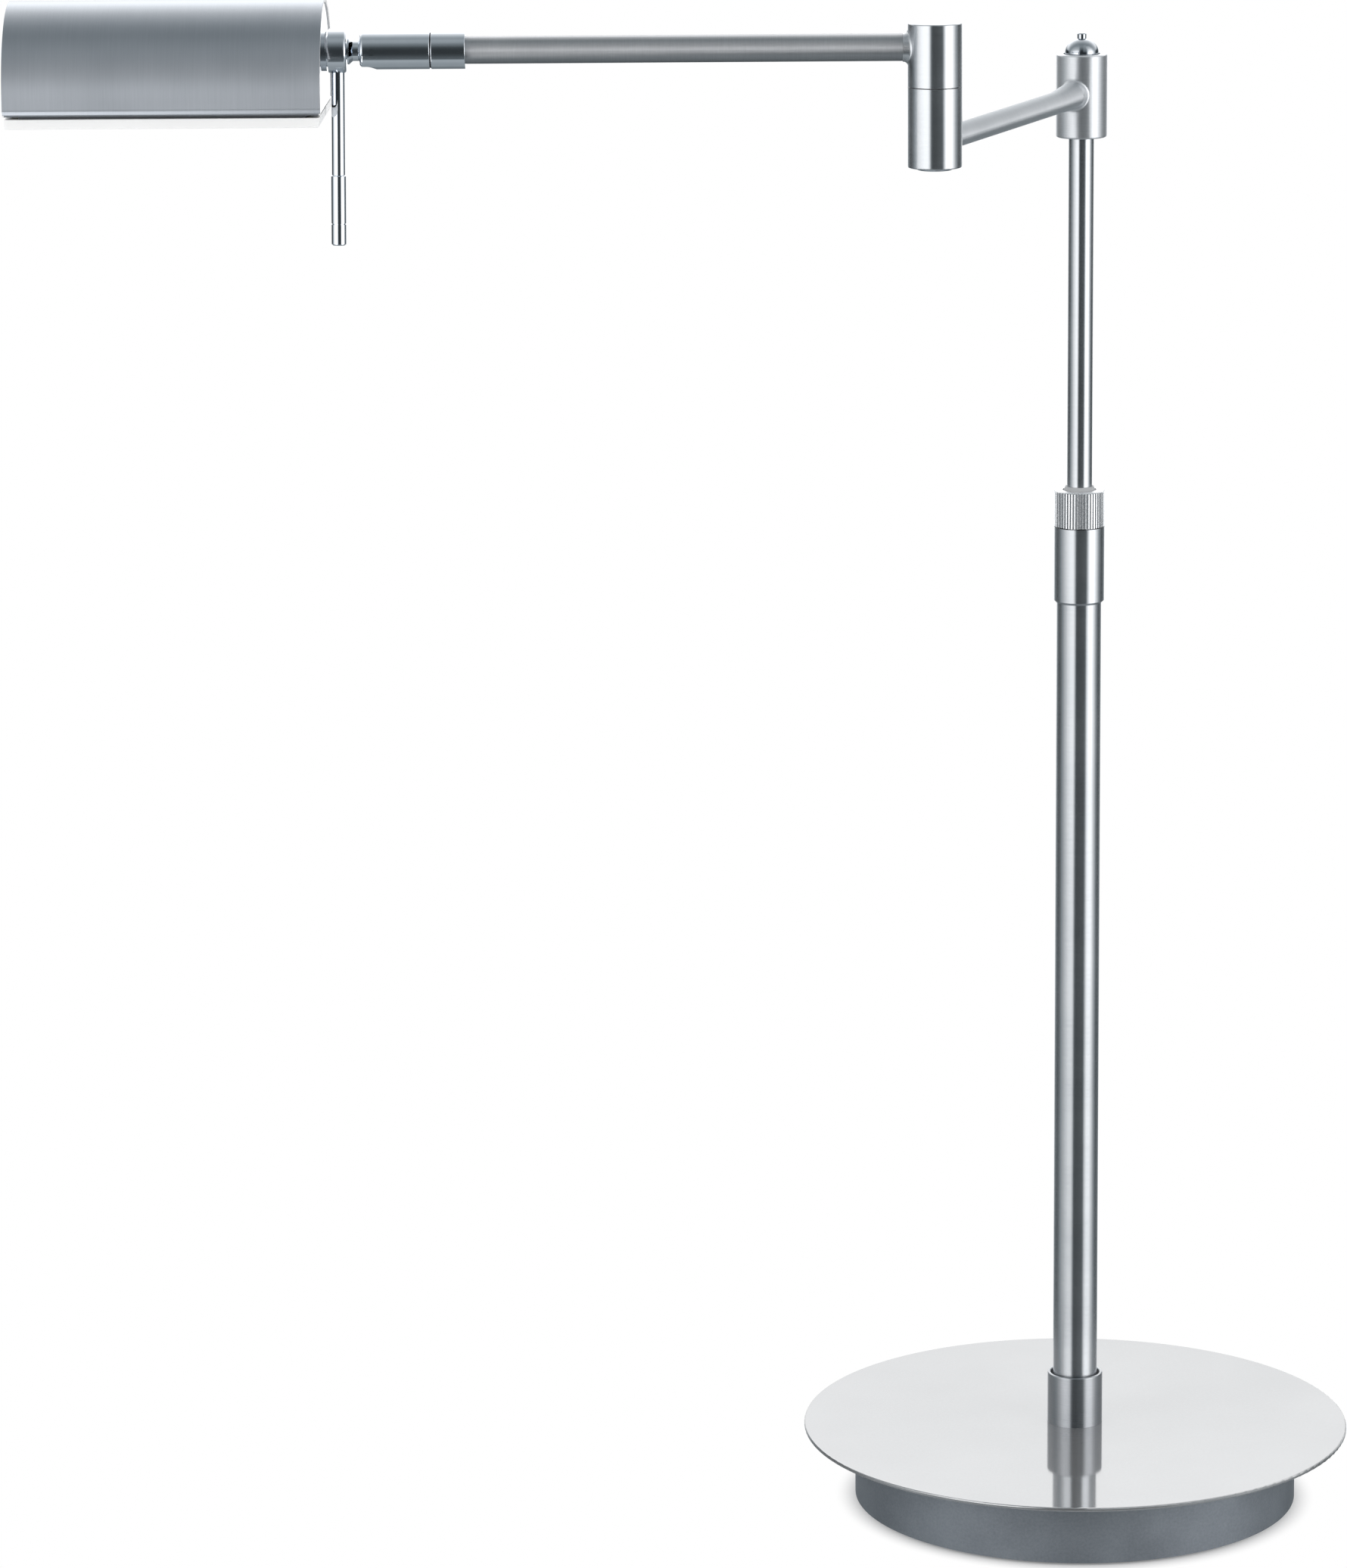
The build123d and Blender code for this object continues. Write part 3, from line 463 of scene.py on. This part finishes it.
# A thin dark ring in the seam where the coupling turns on the arm: painted shade in the gap
shade_ring_start = 0.17570
shade_ring_end = 0.17600
shade_ring_outer = 0.0062
shade_ring_inner = 0.00412
shade_ring_round = 0.0001
shade_ring_count = 64
arm_low, arm_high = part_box("long_arm")
arm_height = (arm_low[2] + arm_high[2]) / 2
profile = [
    (shade_ring_start, shade_ring_inner),
    (shade_ring_start, shade_ring_outer - shade_ring_round),
    (shade_ring_start + shade_ring_round, shade_ring_outer),
    (shade_ring_end - shade_ring_round, shade_ring_outer),
    (shade_ring_end, shade_ring_outer - shade_ring_round),
    (shade_ring_end, shade_ring_inner),
]
shape = bmesh.new()
rings = []
for step in range(shade_ring_count):
    turn = 2.0 * math.pi * step / shade_ring_count
    ring = []
    for along, radius in profile:
        spot = (
            ELBOW[0] - along,
            ELBOW[1] + radius * math.cos(turn),
            arm_height + radius * math.sin(turn),
        )
        ring.append(shape.verts.new(spot))
    rings.append(ring)
for ring, following in zip(rings, rings[1:] + rings[:1]):
    for index in range(len(profile)):
        after = (index + 1) % len(profile)
        shape.faces.new((ring[index], ring[after], following[after], following[index]))
bmesh.ops.recalc_face_normals(shape, faces=shape.faces)
seam_shade = mesh_object("seam_shade", shape)
seam_shade.data.materials.append(black_plastic)
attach(seam_shade, "coupling")


# Stage: a pale floor, and a tent and a card that only reflections see
def seen_directly(tree):
    """One for rays from the camera, from reflections and through glass, and none for the rest."""
    path = add(tree, "ShaderNodeLightPath").outputs
    first = calc(tree, "ADD", path["Is Camera Ray"], path["Is Glossy Ray"])
    return calc(tree, "ADD", first, path["Is Transmission Ray"], use_clamp=True)


def only_reflected(obj, material):
    """Give a glowing stage object its material, and hide it from all but reflections."""
    obj.data.materials.append(material)
    material.cycles.emission_sampling = "NONE"
    obj.visible_camera = False
    obj.visible_diffuse = False
    obj.visible_shadow = False
    obj.visible_volume_scatter = False


# Floor: paper that takes the shadow close to the drum, and fades to white beyond it
floor_radius = 9.0
floor_sides = 96
floor_drop = 0.0005
fade_start = 0.0785
fade_end = 0.0935
paper_cloud = 3.0
paper_dark = (0.93, 0.93, 0.93)
paper_light = (0.95, 0.95, 0.95)
shape = bmesh.new()
bmesh.ops.create_circle(shape, cap_ends=True, radius=floor_radius, segments=floor_sides)
floor = mesh_object("floor", shape)
floor.location = (0.0, 0.0, -floor_drop)
floor_material, tree = new_material("floor")
place = object_place(tree)
distance = vector_calc(tree, "LENGTH", place)
far = span(tree, distance, fade_start, fade_end, interpolation_type="SMOOTHSTEP")
share = calc(tree, "MULTIPLY", far, seen_directly(tree))
paper_tone = two_tone(tree, noise(tree, place, paper_cloud), paper_dark, paper_light)
paper = add(tree, "ShaderNodeBsdfDiffuse", {"Color": paper_tone})
white = add(tree, "ShaderNodeEmission", {"Color": WHITE, "Strength": 1.0})
surface(tree, add(tree, "ShaderNodeMixShader", {0: share, 1: paper.outputs[0], 2: white.outputs[0]}))
floor.data.materials.append(floor_material)
floor.visible_glossy = False

# Tent: soft panels painted on a sphere by direction
tent_radius = 4.0
tent_middle = (-0.15, -0.08, 0.35)
line_edge = 0.10
aside_edge = 0.28
shape = bmesh.new()
bmesh.ops.create_uvsphere(shape, u_segments=64, v_segments=32, radius=tent_radius)
tent = mesh_object("tent", shape)
for face in tent.data.polygons:
    face.use_smooth = True
tent.location = tent_middle
tent_material, tree = new_material("tent")
place = object_place(tree)
axes = axes_of(tree, place)
front = calc(tree, "MULTIPLY", axes["Y"], -1.0)
azimuth = calc(tree, "ARCTAN2", axes["X"], front)
meridian = calc(tree, "ARCTAN2", axes["Z"], front)
unit = axes_of(tree, vector_calc(tree, "NORMALIZE", place))
elevation = calc(tree, "ARCSINE", unit["Z"])
aside = span(tree, calc(tree, "ABSOLUTE", unit["X"]), line_edge, aside_edge)


def turn_ramp(tree, angle, stops, peak=4.0):
    """Brightness led by an angle from -180 to 180 degrees, through (degrees, brightness) stops."""
    share = span(tree, angle, -math.pi, math.pi)
    ramp = add(tree, "ShaderNodeFloatCurve", {"Factor": 1.0, "Value": share})
    curve = ramp.mapping.curves[0]
    while len(curve.points) < len(stops):
        curve.points.new(0.5, 0.5)
    for point, (degrees, brightness) in zip(curve.points, stops):
        point.location = ((degrees + 180.0) / 360.0, brightness / peak)
        point.handle_type = "VECTOR"
    ramp.mapping.use_clip = False
    ramp.mapping.update()
    return calc(tree, "MULTIPLY", ramp.outputs[0], peak)


# Brightness round the horizon, from behind on the left, by the front, to behind on the right
around = turn_ramp(tree, azimuth, [
    (-180, 1.4), (-164, 1.35), (-148, 0.3), (-125, 0.03), (-112, 0.06), (-100, 0.25), (-88, 0.55), (-75, 1.0),
    (-60, 1.7), (-42, 2.4), (-27, 2.4), (-20, 1.3), (-14, 0.12), (-8, 0.045), (20, 0.045), (31, 0.08),
    (36, 0.35), (42, 1.6), (52, 3.0), (70, 3.0), (80, 2.0), (90, 1.1), (100, 0.5), (112, 0.12), (125, 0.05),
    (148, 0.3), (164, 1.35), (180, 1.4),
])
# Brightness from behind, under the lamp, by the front and over it, to behind again
BELOW = [
    (-180, 0.3), (-150, 0.15), (-125, 0.2), (-110, 0.34), (-85, 0.36), (-66, 0.42), (-55, 0.45), (-47, 0.15),
    (-25, 0.08),
]
RISE_IN_LINE = [(0, 0.04), (22, 0.08), (37, 0.2), (58, 0.38), (70, 0.40), (82, 0.36)]
RISE_ASIDE = [(-8, 0.08), (5, 0.3), (14, 0.45), (22, 0.46), (37, 0.45), (58, 0.5), (70, 0.51), (82, 0.42)]
BEHIND = [(95, 0.47), (113, 0.8), (124, 1.15), (136, 1.75), (150, 2.6), (165, 2.4), (180, 1.4)]
in_line = turn_ramp(tree, meridian, BELOW + RISE_IN_LINE + BEHIND)
beside = turn_ramp(tree, meridian, BELOW + RISE_ASIDE + BEHIND)
# The share of the horizon's panels at each elevation
band = turn_ramp(tree, elevation, [
    (-180, 0.0), (-60, 0.0), (-40, 0.04), (-26, 0.06), (-20, 0.16), (-15, 0.5), (-10, 0.9), (-5, 1.0),
    (8, 1.0), (14, 0.75), (21, 0.5), (37, 0.2), (60, 0.0), (180, 0.0),
])
COOL = (0.86, 1.0, 1.07, 1.0)
ceiling = mix(tree, "FLOAT", aside, in_line, beside)
glow_level = mix(tree, "FLOAT", band, ceiling, around)
glow_tint = mix(tree, "RGBA", glow_level, COOL, WHITE)
surface(tree, add(tree, "ShaderNodeEmission", {"Color": glow_tint, "Strength": glow_level}))
only_reflected(tent, tent_material)

# Card: a pale sheet under the shade, for the bright hem
card_low = Vector((-0.60, -0.41, 0.44))
card_high = Vector((-0.2925, -0.19, 0.44))
card_glow = 2.1
card_mesh = bpy.data.meshes.new("card")
card_mesh.from_pydata(
    [card_low, (card_high.x, card_low.y, card_low.z), card_high, (card_low.x, card_high.y, card_low.z)],
    [],
    [(0, 1, 2, 3)],
)
card = link(bpy.data.objects.new("card", card_mesh))
card_material, tree = new_material("card")
surface(tree, add(tree, "ShaderNodeEmission", {"Color": WHITE, "Strength": card_glow}))
only_reflected(card, card_material)


# Light
def softbox(name, place, aim, width, tall, power):
    """A soft lamp that neither the camera nor reflections see."""
    lamp = bpy.data.lights.new(name, "AREA")
    lamp.shape = "RECTANGLE"
    lamp.size = width
    lamp.size_y = tall
    lamp.energy = power
    made = link(bpy.data.objects.new(name, lamp))
    made.location = place
    made.rotation_mode = "QUATERNION"
    made.rotation_quaternion = (Vector(aim) - Vector(place)).to_track_quat("-Z", "Y")
    made.visible_camera = False
    made.visible_glossy = False


lamp_middle = (-0.1, -0.05, 0.25)
base_middle = (-0.1, 0.0, 0.0)
softbox("softbox_left", (-1.9, -1.3, 0.9), lamp_middle, width=1.2, tall=1.4, power=16.2)
softbox("softbox_right", (1.7, -1.3, 0.9), lamp_middle, width=1.2, tall=1.4, power=16.2)
softbox("softbox_top", (-0.1, 0.1, 2.2), base_middle, width=2.0, tall=2.0, power=18.5)

ambient_glow = 0.53
backdrop_glow = 1.0
world = bpy.data.worlds.new("studio")
world.use_nodes = True
tree = world.node_tree
tree.nodes.clear()
ambient = add(tree, "ShaderNodeBackground", {"Color": WHITE, "Strength": ambient_glow})
backdrop = add(tree, "ShaderNodeBackground", {"Color": WHITE, "Strength": backdrop_glow})
sky = add(
    tree, "ShaderNodeMixShader", {0: seen_directly(tree), 1: ambient.outputs[0], 2: backdrop.outputs[0]}
)
add(tree, "ShaderNodeOutputWorld", {"Surface": sky.outputs[0]})
scene.world = world

# Camera
SENSOR = 36.0
PHOTO_HEIGHT = 2072.0
FOCAL_PIXELS = 8500.0
CAMERA_PLACE = (-0.15366, -2.38483, 0.81691)
YAW = math.radians(1.152)
PITCH = math.radians(12.60)
ROLL = math.radians(-0.507)
LEVEL_VIEW = math.radians(90.0)
lens = bpy.data.cameras.new("camera")
lens.sensor_fit = "AUTO"
lens.sensor_width = SENSOR
lens.lens = FOCAL_PIXELS * SENSOR / PHOTO_HEIGHT
lens.clip_start = 0.05
lens.clip_end = 60.0
camera = link(bpy.data.objects.new("camera", lens))
camera.matrix_world = (
    Matrix.Rotation(YAW, 4, "Z")
    @ Matrix.Translation(CAMERA_PLACE)
    @ Matrix.Rotation(LEVEL_VIEW - PITCH, 4, "X")
    @ Matrix.Rotation(ROLL, 4, "Z")
)
scene.camera = camera
